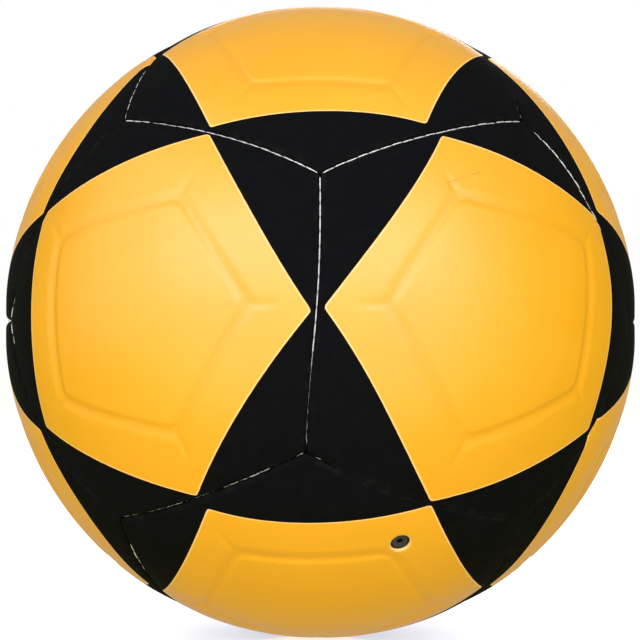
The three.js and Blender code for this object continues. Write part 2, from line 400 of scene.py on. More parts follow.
def on_ball(pixel):
    """The point of the ball, in mm, that a pixel of the photo shows."""
    across, down = (np.array(pixel) - PHOTO_MIDDLE) / PHOTO_FOCAL
    ray = CAMERA_AXES @ unit((across, 1, -down))
    eye = -CAMERA_DISTANCE * CAMERA_AXES[:, 1]
    nearest = -eye @ ray
    return eye + ray * (nearest - math.sqrt(nearest**2 - CAMERA_DISTANCE**2 + CREST**2))


def pulled(point, pixel, ways):
    """Move in mm, along the given directions, that brings a point of the ball to its place in the photo."""
    here = in_photo(point)
    steps = np.array([in_photo(point + way) - here for way in ways])
    hold = LIMB_HOLD * np.eye(len(ways))
    return np.linalg.solve(steps @ steps.T + hold, steps @ (np.array(pixel) - here)) @ ways


def drawing(points, moves):
    """A smooth move over directions on the ball, in mm, that agrees with the moves known at some points."""
    points = np.reshape(points, (-1, 3))

    def nearness(ways):
        return np.exp(-((angles_to(ways, points) / DRAWN_REACH) ** 2))

    shares = np.linalg.solve(nearness(points), np.reshape(moves, (-1, 3)))
    return lambda ways: nearness(ways) @ shares / CREST


# Sewing

SEAM_POINTS = [
    " ".join(group)
    for count in (2, 3)
    for group in itertools.combinations(FACING, count)
    if all(are_neighbours(a, b) for a, b in itertools.combinations(group, 2))
]
SEAM_DROP = EDGE_DROP + PILLOW_DROP


def sewn_move(names):
    """How far the sewing has drawn a corner, or a seam sideways at its middle, in mm."""
    point = np.array(seam_point(names))
    in_view = -point @ CAMERA_AXES[:, 1] > FOOT_SEEN
    point = (CREST - (SEAM_DROP if in_view else TIP_DROP)) * point
    ways = across_and_along(point, np.array(direction(names.split()[0])))
    return pulled(point, SEAMS_SEEN[names], ways if is_corner(names) else ways[:1])


SEWN = drawing([seam_point(names) for names in SEAMS_SEEN], [sewn_move(names) for names in SEAMS_SEEN])


def as_sewn(points):
    """Points on the regular ball, in mm, moved to where the sewing has drawn them. The valve stays put."""
    radius = np.linalg.norm(points, axis=1, keepdims=True)
    ways = points / radius
    free = 1 - np.exp(-((angles_to(ways, [VALVE_AXIS]) * CREST / VALVE_STILL) ** 2))
    return units(ways + free * SEWN(ways)) * radius


def tight_point(names):
    side, _, end = names.partition("/")
    return (seam_point(side) + seam_point(f"{side} {end}")).normalized() if end else seam_point(side)


TIGHT = {**dict.fromkeys(SEAM_POINTS, SEWN_TIGHT_USUAL), **SEWN_TIGHT}
TIGHT_POINTS = np.array([tight_point(names) for names in TIGHT])
TIGHT_SHARES = np.array(list(TIGHT.values()))


def tightness(ways):
    """How tightly the nearest seam is closed, near directions on the ball."""
    nearness = np.maximum(angles_to(ways, TIGHT_POINTS), TIGHT_NEAREST) ** -TIGHT_FALLOFF
    return nearness @ TIGHT_SHARES / nearness.sum(axis=1)


def wander(ways, phase):
    """A small steady unevenness to both sides of 0 over directions on the ball, some millimetres long."""
    points = CREST * ways
    total = np.zeros(len(ways))
    for height, *pair in WANDER_WAVES:
        waves = [np.sin(points @ np.array(wave) + turns * phase) for wave, turns in pair]
        total += height * np.prod(waves, axis=0)
    return total


def seam_gap(ways, phase):
    """Distance in mm from a seam's middle to a panel's edge, near directions on the ball."""
    tight = tightness(ways)
    uneven = SEAM_WANDER * np.clip(OPEN_SEAM_WANDER + tight, 0, 1) * wander(ways, phase)
    return np.clip(SEAM_OPEN * (1 - SEAM_CLOSING * tight) + uneven, SEAM_SHUT, SEAM_WIDEST)


# Finishes: colours, as linear red, green and blue
YELLOW_DEEP, YELLOW_LIGHT = (0.885, 0.408, 0.004), (0.915, 0.430, 0.007)
# The second yellow on the next line is painted shade, laid in the pressed lines where their hollows would be
# shaded
YELLOW_FLECK, YELLOW_GROOVE_SHADE = (0.87, 0.395, 0.004), (0.82, 0.35, 0.002)
YELLOW_RIM, YELLOW_SCRATCHED = (0.98, 0.70, 0.33), (0.50, 0.27, 0.0)
BLACK_DEEP, BLACK_LIGHT = (0.0034, 0.0040, 0.0054), (0.0046, 0.0052, 0.0066)
# Lighter black beside the seams, on the next line: partly wear, partly painted sheen
BLACK_WORN_AND_SHEEN = (0.011, 0.011, 0.012)
# Pale ring round the valve hole on the next line: the cover's cut edge, partly a painted highlight on the
# rounded lip
CUT_EDGE_AND_HIGHLIGHT = (0.96, 0.72, 0.40)
THREAD_SHADE, THREAD_LIGHT = (0.56, 0.57, 0.62), (0.88, 0.89, 0.94)
FOAM_PORE, FOAM_LIGHT = (0.62, 0.60, 0.54), (0.82, 0.80, 0.74)
LINING_SHADE, LINING_LIGHT = (0.36, 0.33, 0.26), (0.70, 0.66, 0.56)
BUTYL_DARK, BUTYL_DUSTY = (0.018, 0.018, 0.019), (0.04, 0.04, 0.042)
VALVE_DARK, VALVE_DUSTY = (0.004, 0.004, 0.004), (0.010, 0.010, 0.010)
CORE_DARK, CORE_DUSTY = (0.023, 0.024, 0.029), (0.040, 0.042, 0.050)
FLOOR_WHITE = (0.86, 0.86, 0.86)

# Finishes: shares of the gloss, and roughness
YELLOW_GLOSS, BLACK_GLOSS = 1.0, 0.03
RUBBER_GLOSS, THREAD_GLOSS, CLOTH_GLOSS, FLOOR_GLOSS = 0.4, 0.4, 0.2, 0.1
COVER_ROUGHNESS, BLACK_ROUGHER = (0.37, 0.43), 0.4
THREAD_ROUGHNESS, FOAM_ROUGHNESS, LINING_ROUGHNESS, FLOOR_ROUGHNESS = 0.6, 0.9, 0.85, 0.9
BUTYL_ROUGHNESS, VALVE_ROUGHNESS, CORE_ROUGHNESS = 0.62, 0.6, 0.5

# Finishes: how fine each noise is, in repeats to a metre, and its levels of detail
CLOUDS, MOTTLING, FINE_GRAIN = (28.0, 4.0), (260.0, 3.0), (2600.0, 2.0)
EDGE_WAVES, FIBRES = (420.0, 2.0), (1800.0, 3.0)
DUST, SPECKS = (160.0, 5.0), (1500.0, 2.0)
NOISE_ROUGHNESS = 0.55

# Finishes: cells of the leather grain and of the foam to a metre, and the scale of the weave on flat cloth
GRAIN_CELLS, FOAM_CELLS = 1150.0, 900.0
WEAVE_SCALE, WEAVE_DISTORTION = 0.55, 0.4
GRAIN_SHARE, FINE_GRAIN_SHARE = 0.8, 0.4

# Finishes: height in mm and strength of each bump
GRAIN_BUMP, FIBRE_BUMP, FOAM_BUMP = (0.03, 0.5), (0.06, 0.6), (0.2, 0.7)
WEAVE_BUMP, SPECK_BUMP = (0.2, 0.8), (0.04, 0.5)

# Finishes: the stretch of a pattern, or of a distance in mm, over which one tone turns into the next
SOFT_SPAN, FLECK_SPAN, GROOVE_SHADE_SPAN = (0.3, 0.7), (0.55, 0.85), (0.35, 1.0)
BLACK_SPAN, WORN_AND_SHEEN_SPAN, FOAM_SPAN, DUST_SPAN = (0.4, 0.8), (0.45, 0.7), (0.1, 0.7), (0.35, 0.75)
PRINT_BLUR, PRINT_WAVER = (-0.05, 0.05), 0.12
RIM_RISE, RIM_FALL, WORN_AND_SHEEN_REACH = (0.0, 0.12), (0.7, 0.25), (2.2, 0.6)
FLECK_SHARE, GROOVE_SHADE_SHARE, RIM_SHARE, WORN_AND_SHEEN_SHARES = 0.35, 0.3, 0.8, (0.1, 0.7)


def new_material(name, specular, roughness=0.5):
    material = bpy.data.materials.new(name)
    material.use_nodes = True
    shader = material.node_tree.nodes["Principled BSDF"]
    shader.inputs["Roughness"].default_value = roughness
    shader.inputs["Specular IOR Level"].default_value = specular
    return material, material.node_tree, shader


def set_input(tree, socket, value):
    """Links a socket to another one, or gives it a constant."""
    if isinstance(value, bpy.types.NodeSocket):
        tree.links.new(value, socket)
    else:
        socket.default_value = value


def add_node(tree, kind, settings=None, **inputs):
    node = tree.nodes.new(kind)
    for key, value in (settings or {}).items():
        setattr(node, key, value)
    for key, value in inputs.items():
        set_input(tree, node.inputs[key], value)
    return node


def attribute(tree, name, output="Fac"):
    return add_node(tree, "ShaderNodeAttribute", {"attribute_name": name}).outputs[output]


def object_coordinates(tree):
    return add_node(tree, "ShaderNodeTexCoord").outputs["Object"]


def math_node(tree, operation, a, b=0.0):
    node = add_node(tree, "ShaderNodeMath", {"operation": operation})
    set_input(tree, node.inputs[0], a)
    set_input(tree, node.inputs[1], b)
    return node.outputs[0]


def product(tree, a, b):
    return math_node(tree, "MULTIPLY", a, b)


def ramp_between(tree, value, span, shares=(0.0, 1.0)):
    """A smooth step from one share to another, as a value crosses a span."""
    node = add_node(tree, "ShaderNodeMapRange", {"interpolation_type": "SMOOTHSTEP"}, Value=value)
    for name, number in zip(("From Min", "From Max", "To Min", "To Max"), (*span, *shares)):
        node.inputs[name].default_value = number
    return node.outputs["Result"]


def mix_colour(tree, share, a, b):
    node = add_node(tree, "ShaderNodeMix", {"data_type": "RGBA"})
    for name, kind, value in (("Factor", "VALUE", share), ("A", "RGBA", a), ("B", "RGBA", b)):
        socket = next(s for s in node.inputs if s.name == name and s.type == kind)
        set_input(tree, socket, (*value, 1) if isinstance(value, tuple) else value)
    return next(s for s in node.outputs if s.type == "RGBA")


def noise(tree, where, scale, detail):
    settings = {"Vector": where, "Scale": scale, "Detail": detail, "Roughness": NOISE_ROUGHNESS}
    return add_node(tree, "ShaderNodeTexNoise", **settings).outputs["Fac"]


def cells(tree, where, scale, feature):
    node = add_node(tree, "ShaderNodeTexVoronoi", {"feature": feature}, Vector=where, Scale=scale)
    return node.outputs["Distance"]


def bump(tree, height, distance, strength):
    node = add_node(tree, "ShaderNodeBump", Height=height, Distance=distance * MM, Strength=strength)
    return node.outputs["Normal"]


def yellow_tone(tree, edge, cloudy, mottled):
    """Yellow print: cloudy, with painted shade in the pressed lines, paler along its rim, and scratched on
    one panel.
    """
    tone = mix_colour(tree, ramp_between(tree, cloudy, SOFT_SPAN), YELLOW_DEEP, YELLOW_LIGHT)
    flecks = ramp_between(tree, mottled, FLECK_SPAN, (0.0, FLECK_SHARE))
    tone = mix_colour(tree, flecks, tone, YELLOW_FLECK)
    # Painted shade: the yellow darkens with the depth of the pressed line
    groove_shade = ramp_between(tree, attribute(tree, "groove"), GROOVE_SHADE_SPAN, (0.0, GROOVE_SHADE_SHARE))
    tone = mix_colour(tree, groove_shade, tone, YELLOW_GROOVE_SHADE)
    rim = product(tree, ramp_between(tree, edge, RIM_RISE), ramp_between(tree, edge, RIM_FALL))
    tone = mix_colour(tree, product(tree, rim, RIM_SHARE), tone, YELLOW_RIM)
    beside = math_node(tree, "ABSOLUTE", attribute(tree, "beside_scratch_mm"))
    scratch = ramp_between(tree, beside, (SCRATCH_HALF_WIDTH, 0.0))
    return mix_colour(tree, product(tree, scratch, attribute(tree, "scratch")), tone, YELLOW_SCRATCHED)


def black_tone(tree, mottled):
    """Black print, lighter in patches beside the seams: partly wear, partly a painted sheen."""
    tone = mix_colour(tree, ramp_between(tree, mottled, BLACK_SPAN), BLACK_DEEP, BLACK_LIGHT)
    # Wear and painted sheen: paler black in patches within a few mm of the seams
    worn_and_sheen = ramp_between(tree, attribute(tree, "seam_mm"), WORN_AND_SHEEN_REACH)
    worn_and_sheen = product(tree, worn_and_sheen, ramp_between(tree, mottled, WORN_AND_SHEEN_SPAN, WORN_AND_SHEEN_SHARES))
    return mix_colour(tree, worn_and_sheen, tone, BLACK_WORN_AND_SHEEN)


def leather_grain(tree, where):
    coarse = product(tree, cells(tree, where, GRAIN_CELLS, "SMOOTH_F1"), GRAIN_SHARE)
    fine = product(tree, noise(tree, where, *FINE_GRAIN), FINE_GRAIN_SHARE)
    return bump(tree, math_node(tree, "ADD", coarse, fine), *GRAIN_BUMP)


def cover_finish(name, specular):
    """Print on leathercloth, yellow or black by the distance from the edge of the yellow field."""
    material, tree, shader = new_material(name, specular)
    where = object_coordinates(tree)
    waver = math_node(tree, "SUBTRACT", noise(tree, where, *EDGE_WAVES), 0.5)
    edge = math_node(tree, "ADD", attribute(tree, "print_mm"), product(tree, waver, PRINT_WAVER))
    is_yellow = ramp_between(tree, edge, PRINT_BLUR)
    cloudy = noise(tree, where, *CLOUDS)
    mottled = noise(tree, where, *MOTTLING)
    yellow = yellow_tone(tree, edge, cloudy, mottled)
    printed = mix_colour(tree, is_yellow, black_tone(tree, mottled), yellow)
    # Pale ring round the valve hole: cut edge, partly a painted highlight on the lip
    printed = mix_colour(tree, attribute(tree, "cut_and_highlight"), printed, CUT_EDGE_AND_HIGHLIGHT)
    tree.links.new(printed, shader.inputs["Base Color"])
    tree.links.new(leather_grain(tree, where), shader.inputs["Normal"])
    roughness = ramp_between(tree, cloudy, SOFT_SPAN, COVER_ROUGHNESS)
    rougher = ramp_between(tree, is_yellow, (0.0, 1.0), (BLACK_ROUGHER, 0.0))
    tree.links.new(math_node(tree, "ADD", roughness, rougher), shader.inputs["Roughness"])
    return material


def thread_finish():
    material, tree, shader = new_material("waxed_thread", THREAD_GLOSS, THREAD_ROUGHNESS)
    fibre = noise(tree, object_coordinates(tree), *FIBRES)
    tone = mix_colour(tree, ramp_between(tree, fibre, SOFT_SPAN), THREAD_SHADE, THREAD_LIGHT)
    tree.links.new(tone, shader.inputs["Base Color"])
    tree.links.new(bump(tree, fibre, *FIBRE_BUMP), shader.inputs["Normal"])
    return material


def foam_finish():
    material, tree, shader = new_material("white_foam", CLOTH_GLOSS, FOAM_ROUGHNESS)
    pores = cells(tree, object_coordinates(tree), FOAM_CELLS, "F1")
    tone = mix_colour(tree, ramp_between(tree, pores, FOAM_SPAN), FOAM_PORE, FOAM_LIGHT)
    tree.links.new(tone, shader.inputs["Base Color"])
    tree.links.new(bump(tree, pores, *FOAM_BUMP), shader.inputs["Normal"])
    return material


def lining_threads(tree, flat, axis):
    settings = {"Vector": flat, "Scale": WEAVE_SCALE, "Distortion": WEAVE_DISTORTION}
    return add_node(tree, "ShaderNodeTexWave", {"bands_direction": axis}, **settings).outputs["Fac"]


def lining_finish():
    material, tree, shader = new_material("woven_lining", CLOTH_GLOSS, LINING_ROUGHNESS)
    flat = attribute(tree, "cloth_mm", "Vector")
    weave = math_node(tree, "MAXIMUM", lining_threads(tree, flat, "X"), lining_threads(tree, flat, "Y"))
    tree.links.new(mix_colour(tree, weave, LINING_SHADE, LINING_LIGHT), shader.inputs["Base Color"])
    tree.links.new(bump(tree, weave, *WEAVE_BUMP), shader.inputs["Normal"])
    return material


def rubber_finish(name, dark, dusty, roughness):
    material, tree, shader = new_material(name, RUBBER_GLOSS, roughness)
    where = object_coordinates(tree)
    dust = ramp_between(tree, noise(tree, where, *DUST), DUST_SPAN)
    tree.links.new(mix_colour(tree, dust, dark, dusty), shader.inputs["Base Color"])
    tree.links.new(bump(tree, noise(tree, where, *SPECKS), *SPECK_BUMP), shader.inputs["Normal"])
    return material


FINISH = {
    "cover": [cover_finish("yellow_print", YELLOW_GLOSS), cover_finish("black_print", BLACK_GLOSS)],
    "foam": [foam_finish()],
    "lining": [lining_finish()],
    "thread": [thread_finish()],
    "bladder": [rubber_finish("butyl_rubber", BUTYL_DARK, BUTYL_DUSTY, BUTYL_ROUGHNESS)],
    "valve": [rubber_finish("valve_rubber", VALVE_DARK, VALVE_DUSTY, VALVE_ROUGHNESS)],
    "core": [rubber_finish("core_rubber", CORE_DARK, CORE_DUSTY, CORE_ROUGHNESS)],
}
YELLOW_FINISH, BLACK_FINISH = 0, 1


# Meshes


def mesh_from(name, shape):
    mesh = bpy.data.meshes.new(name)
    shape.to_mesh(mesh)
    shape.free()
    return mesh


def finish_piece(name, shape, slot, node):
    """Turns a bmesh in millimetres into a piece on the ball that stands for a CAD node."""
    bmesh.ops.scale(shape, vec=(MM, MM, MM), verts=shape.verts)
    mesh = mesh_from(name, shape)
    mesh.polygons.foreach_set("use_smooth", [True] * len(mesh.polygons))
    for material in FINISH[slot]:
        mesh.materials.append(material)
    piece = bpy.data.objects.new(name, mesh)
    bpy.context.scene.collection.objects.link(piece)
    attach(piece, "root")
    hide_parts(node)
    return piece


def move_verts(verts, points):
    for vert, point in zip(verts, points):
        vert.co = point


def sew(shape, axes):
    """Takes a shape from the given axes to the ball, as sewn."""
    points = np.array([vert.co for vert in shape.verts]) @ axes.T
    move_verts(shape.verts, as_sewn(points))


def rim_verts(shape):
    return {vert for edge in shape.edges if edge.is_boundary for vert in edge.verts}


# Panels


def pentagon_grid(steps):
    """A flat five-sided grid of triangles, inradius 1, with a side's middle on +X."""
    grid = bmesh.new()
    radius = 1 / math.cos(math.pi / SIDES)
    bmesh.ops.create_circle(grid, cap_ends=True, cap_tris=True, segments=SIDES, radius=radius)
    corner = max(grid.verts, key=lambda vert: vert.co.length).co
    turn = math.pi / SIDES - math.atan2(corner.y, corner.x)
    bmesh.ops.rotate(grid, matrix=Matrix.Rotation(turn, 3, "Z"), verts=grid.verts)
    bmesh.ops.subdivide_edges(grid, edges=grid.edges, cuts=steps - 1, use_grid_fill=True)
    bmesh.ops.recalc_face_normals(grid, faces=grid.faces)
    if grid.faces[:][0].normal.z < 0:
        bmesh.ops.reverse_faces(grid, faces=grid.faces)
    return grid


GRIDS = {steps: pentagon_grid(steps) for steps in {COVER_STEPS, INNER_STEPS, LAYER_STEPS}}


def side_shares(flat):
    """How far each flat point is towards each side: 1 on the side itself."""
    return flat[:, :1] * np.cos(SIDE_TURNS) + flat[:, 1:2] * np.sin(SIDE_TURNS)


def nearest_side(flat):
    return np.maximum(side_shares(flat).max(axis=1), TINY)


def towards(flat):
    """Unit directions in a panel's axes through points one unit along its axis."""
    return units(np.column_stack([flat, np.ones(len(flat))]))


def seam_ways(flat, place):
    """Directions on the ball to the seam beside flat points of a panel."""
    return towards(flat / nearest_side(flat)[:, None] * math.tan(FACE_ANGLE)) @ panel_frame(place).T


def edge_inset(flat, place):
    """Distance in mm between the seam's middle and the panel's edge, beside flat points."""
    return seam_gap(seam_ways(flat, place), list(FACING).index(place))


def flushness(flat, place):
    """How nearly flush the seam beside flat points is, from 0 to 1."""
    return np.clip((tightness(seam_ways(flat, place)) - FLUSH_FROM) / (FLUSH_AT - FLUSH_FROM), 0, 1)


def grid_directions(flat, inset, crowding):
    """Unit directions in the panel's axes for flat grid points, the last ring at an inset in mm."""
    share = nearest_side(flat)
    eased = 1 - (1 - np.minimum(share, 1)) ** crowding
    reach = np.tan(FACE_ANGLE - inset / CREST)
    return towards(flat * (eased / share * reach)[:, None])


def seam_distance(ways):
    """Distance in mm from the nearest seam's middle."""
    inward = around(FACE_ANGLE - math.pi / 2)
    return CREST * np.arcsin(np.clip(ways @ inward.T, -1, 1)).min(axis=1)


def valve_distance(ways):
    return CREST * np.arccos(np.clip(ways @ VALVE_WAY, -1, 1))


def towards_side(place, other, polar):
    """Direction at an angle from a panel's middle, towards another direction."""
    middle = np.array(direction(place))
    return math.cos(polar) * middle + math.sin(polar) * across_and_along(middle, np.array(other))[0]


def print_drawing(place):
    """How the yellow field lies off its regular place on a panel."""
    points, moves = [], []
    for names, pixel in FIELDS_SEEN.items():
        if names.split()[0] == place:
            if is_corner(names):
                polar, drop, free = math.pi / 2 - 2 * FACE_ANGLE - PRINT_INSET_MIDDLE / CREST, 0, 1
            else:
                polar, drop, free = FACE_ANGLE - PRINT_TIP / CREST, TIP_DROP, 2
            point = towards_side(place, seam_point(names), polar)
            ways = across_and_along(point, np.array(direction(place)))
            points.append(point)
            moves.append(pulled((CREST - drop) * point, pixel, ways[:free]))
    return drawing(points, moves)


def line_drawing(place):
    """How the pressed line lies off its regular place on a panel."""
    points, moves = [], []
    for names, pixel in LINES_SEEN.items():
        if names.split()[0] == place:
            point = towards_side(place, seam_point(names), LINE_CORNER)
            ways = across_and_along(point, np.array(direction(place)))
            points.append(point)
            moves.append(pulled((CREST - LINE_DEPTH) * point, pixel, ways))
    return drawing(points, moves)


def print_distance(ways):
    """Distance in mm inside the edge of the yellow field; negative in the black corners."""
    facing_sides = around(2 * FACE_ANGLE)
    along_ways = np.column_stack([np.sin(SIDE_TURNS), -np.cos(SIDE_TURNS), np.zeros(SIDES)])
    depth = CREST * np.arcsin(np.clip(ways @ facing_sides.T, -1, 1))
    along = np.arcsin(np.clip(ways @ along_ways.T, -1, 1)) / PRINT_HALF_SIDE
    inside = depth - PRINT_INSET_MIDDLE + (PRINT_INSET_MIDDLE - PRINT_INSET_CORNER) * along**2
    nearest = inside.min(axis=1, keepdims=True)
    rounding = np.log(np.exp(-PRINT_CORNER_BEND * (inside - nearest)).sum(axis=1)) / PRINT_CORNER_BEND
    return nearest[:, 0] - rounding


def bowl(share):
    """Depth across half of a pressed channel, from 1 at its middle to 0 at its side."""
    return np.cos(np.clip(share, 0, 1) * math.pi / 2) ** 2


def pressed_line(ways):
    """Share of the pressed line's depth: a ring steep on the inside, with ticks out towards the corners."""
    flat = ways[:, :2] / ways[:, 2:3]
    out = side_shares(flat)
    across = flat[:, :1] * np.sin(SIDE_TURNS) - flat[:, 1:2] * np.cos(SIDE_TURNS)
    bent = np.log(np.exp(-LINE_BEND * out).sum(axis=1)) / LINE_BEND
    from_ring = CREST * (np.arctan(bent) - math.atan(math.tan(LINE_CORNER) * math.cos(math.pi / SIDES)))
    ring = bowl(np.where(from_ring < 0, -from_ring / LINE_INSIDE, from_ring / LINE_OUTSIDE))
    polar = np.arctan(out)
    fade = np.clip((TICK_END - polar) / (TICK_END - LINE_CORNER), 0, 1) * (polar > LINE_CORNER - TICK_LEAD)
    ticks = (bowl(CREST * np.abs(np.arctan(across)) / TICK_HALF_WIDTH) * fade).max(axis=1)
    return np.maximum(ring, ticks)


FAINT_POINTS = [towards_side(names.split()[0], seam_point(names), LINE_CORNER) for names in LINES_FAINT]


def line_depth(ways):
    """Depth in mm of the pressed lines, at directions on the ball: some sides are pressed faintly."""
    faint = np.exp(-((angles_to(ways, FAINT_POINTS) / LINES_FAINT_REACH) ** 2)).max(axis=1)
    return LINE_DEPTH * (1 - LINES_FAINT_SHARE * faint)


def rounded(share):
    """Drop of a rounded edge, from 1 at its foot to 0 where it meets the surface."""
    return 1 - np.sqrt(1 - np.clip(1 - share, 0, 1) ** 2)


def scratch_beside(points, place):
    """How deep the scratch is beside points of a panel, and their distance in mm to one side of it."""
    start, end = (on_ball(pixel) for pixel in SCRATCH_SEEN)
    share = (points - start) @ (end - start) / ((end - start) @ (end - start))
    depth = np.cos(math.pi * (share - SCRATCH_DEEPEST) / (SCRATCH_AGAIN - SCRATCH_DEEPEST)) ** 2
    depth = (SCRATCH_FAINT + (1 - SCRATCH_FAINT) * depth) * ((share > 0) & (share < 1))
    return depth * (place == SCRATCH_PANEL), points @ unit(np.cross(start, end))


def cover_surface(ways, place):
    """Radius of the outside of the cover, with its attributes."""
    flat = ways[:, :2] / ways[:, 2:3]
    seam = seam_distance(ways)
    axes = panel_frame(place)
    laid = as_sewn(CREST * ways @ axes.T) / CREST
    groove = pressed_line((laid - line_drawing(place)(laid)) @ axes)
    printed = print_distance((laid - print_drawing(place)(laid)) @ axes)
    shoulder = rounded((seam - edge_inset(flat, place)) / EDGE_ROUND)
    drop = EDGE_DROP * (1 - FLUSH_SHARE * flushness(flat, place)) * shoulder
    drop += PILLOW_DROP * np.exp(-((seam / PILLOW_REACH) ** 2))
    drop += line_depth(laid) * groove
    cut_and_highlight = np.zeros(len(ways))
    if place == VALVE_PANEL:
        from_valve = valve_distance(ways)
        drop -= line_depth(laid) * groove * np.exp(-((from_valve / VALVE_LINE_FREE) ** 4))
        drop += VALVE_LIP_DROP * rounded((from_valve - VALVE_MOUTH) / VALVE_LIP)
        # The pale ring round the valve hole: a cut edge, partly a painted highlight on the lip
        cut_and_highlight = np.clip(1 - (from_valve - VALVE_MOUTH - VALVE_PALE_LIP_START) / VALVE_RIM, 0, 1)
    scratch, beside = scratch_beside(CREST * laid, place)
    values = {"print_mm": printed, "groove": groove, "seam_mm": seam, "cut_and_highlight": cut_and_highlight}
    return CREST - drop, {**values, "scratch": scratch, "beside_scratch_mm": beside}


def finer_round_valve(sheet, crowding):
    flat = np.array([vert.co.xy for vert in sheet.verts])
    near = valve_distance(grid_directions(flat, EDGE_INSET, crowding)) < COVER_FINE_REACH
    edges = [edge for edge in sheet.edges if all(near[vert.index] for vert in edge.verts)]
    bmesh.ops.subdivide_edges(sheet, edges=edges, cuts=FINER_CUTS, use_grid_fill=True)
    bmesh.ops.triangulate(sheet, faces=[face for face in sheet.faces if len(face.verts) > 3])


def off_valve_axis(point):
    """A point's foot on the valve's axis, in panel axes, and the way from there to the point."""
    axis = Vector(VALVE_WAY)
    foot = axis * axis.dot(point)
    return foot, point - foot


def open_round_valve(sheet, ways, valve_hole):
    """Cuts a round hole for the valve."""
    doomed = [vert for vert, gap in zip(sheet.verts, valve_distance(ways)) if gap < valve_hole]
    bmesh.ops.delete(sheet, geom=doomed, context="VERTS")
    for vert in rim_verts(sheet):
        foot, out = off_valve_axis(vert.co)
        if out.length < RIM_SEARCH * valve_hole:
            vert.co = foot + out.normalized() * valve_hole


def laid_grid(steps, inset, surface, valve_hole, crowding=1.0):
    """A grid laid on the ball in panel axes, with a round valve hole where one is asked for."""
    sheet = GRIDS[steps].copy()
    if valve_hole:
        finer_round_valve(sheet, crowding)
    flat = np.array([vert.co.xy for vert in sheet.verts])
    ways = grid_directions(flat, inset(flat) if callable(inset) else inset, crowding)
    radius, values = surface(ways) if callable(surface) else (surface, {})
    for name, numbers in values.items():
        layer = sheet.verts.layers.float.new(name)
        for vert, number in zip(sheet.verts, numbers):
            vert[layer] = number
    move_verts(sheet.verts, ways * np.broadcast_to(radius, len(ways))[:, None])
    if valve_hole:
        open_round_valve(sheet, ways, valve_hole)
    return sheet


def boundary_loops(sheet):
    """Boundary edges in two lists: the panel's edge, and the valve hole."""
    edge, hole = [], []
    for item in sheet.edges:
        if item.is_boundary:
            foot, out = off_valve_axis((item.verts[0].co + item.verts[1].co) / 2)
            near = out.length < RIM_SEARCH * VALVE_HOLE and foot.dot(Vector(VALVE_WAY)) > 0
            (hole if near else edge).append(item)
    return edge, hole


def turned_in(sheet, edges, inset, radius):
    """Extrudes a sheet's edge to a ring at an inset from the seam and a radius. Returns the new edges."""
    made = bmesh.ops.extrude_edge_only(sheet, edges=edges)["geom"]
    verts = [item for item in made if isinstance(item, bmesh.types.BMVert)]
    ways = np.array([vert.co.normalized() for vert in verts])
    flat = ways[:, :2] / ways[:, 2:3]
    reach = math.tan(FACE_ANGLE - math.asin(inset / radius))
    move_verts(verts, radius * towards(flat * (reach / nearest_side(flat))[:, None]))
    return [item for item in made if isinstance(item, bmesh.types.BMEdge)]


def closed_shell(outside, inside):
    """Joins two sheets along their edges and valve holes into one closed shell."""
    bmesh.ops.reverse_faces(inside, faces=inside.faces)
    held = mesh_from("inside", inside)
    outside.from_mesh(held)
    bpy.data.meshes.remove(held)
    edge, hole = boundary_loops(outside)
    bmesh.ops.bridge_loops(outside, edges=edge)
    if hole:
        bmesh.ops.bridge_loops(outside, edges=hole)
    bmesh.ops.recalc_face_normals(outside, faces=outside.faces)
    return outside


def cover_panel(place):
    hole = VALVE_MOUTH if place == VALVE_PANEL else 0.0
    outside = laid_grid(
        COVER_STEPS,
        lambda flat: edge_inset(flat, place),
        lambda ways: cover_surface(ways, place),
        hole,
        EDGE_CROWDING,
    )
    edge = boundary_loops(outside)[0]
    edge = turned_in(outside, edge, EDGE_INSET, TURNED_BEND)
    edge = turned_in(outside, edge, EDGE_INSET, TURNED_END)
    turned_in(outside, edge, TURNED_INSET, TURNED_END)
    shape = closed_shell(outside, laid_grid(INNER_STEPS, TURNED_INSET, COVER_IN, hole))
    field = shape.verts.layers.float["print_mm"]
    for face in shape.faces:
        is_yellow = min(vert[field] for vert in face.verts) > 0
        face.material_index = YELLOW_FINISH if is_yellow else BLACK_FINISH
    sew(shape, panel_frame(place))
    finish_piece(f"panel_{place}", shape, "cover", f"cover_{place}")


def layer_panel(prefix, place, outer, inner, slot):
    hole = LAYER_HOLE if place == VALVE_PANEL else 0.0
    outside, inside = (laid_grid(LAYER_STEPS, LAYER_INSET, radius, hole) for radius in (outer, inner))
    shape = closed_shell(outside, inside)
    layer = shape.verts.layers.float_vector.new("cloth_mm")
    for vert in shape.verts:
        vert[layer] = (vert.co.x, vert.co.y, 0)
    sew(shape, panel_frame(place))
    return finish_piece(f"{prefix}_{place}", shape, slot, f"{slot}_{place}")


for place in FACING:
    cover_panel(place)
    pad = layer_panel("pad", place, FOAM_OUT, FOAM_IN, "foam")
    cloth = layer_panel("cloth", place, LINING_OUT, LINING_IN, "lining")


# Bladder


def valve_matrix():
    """From the valve's own axes, z outwards, to the ball."""
    tilt = np.array(Matrix.Rotation(VALVE_TILT, 3, "Y"))
    return Matrix((panel_frame(VALVE_PANEL) @ tilt).tolist()).to_4x4()


def above_within(vert, reach):
    """Whether a vertex is on the valve's side of the ball and within a reach of the valve's axis."""
    return vert.co.z > 0 and vert.co.xy.length < reach


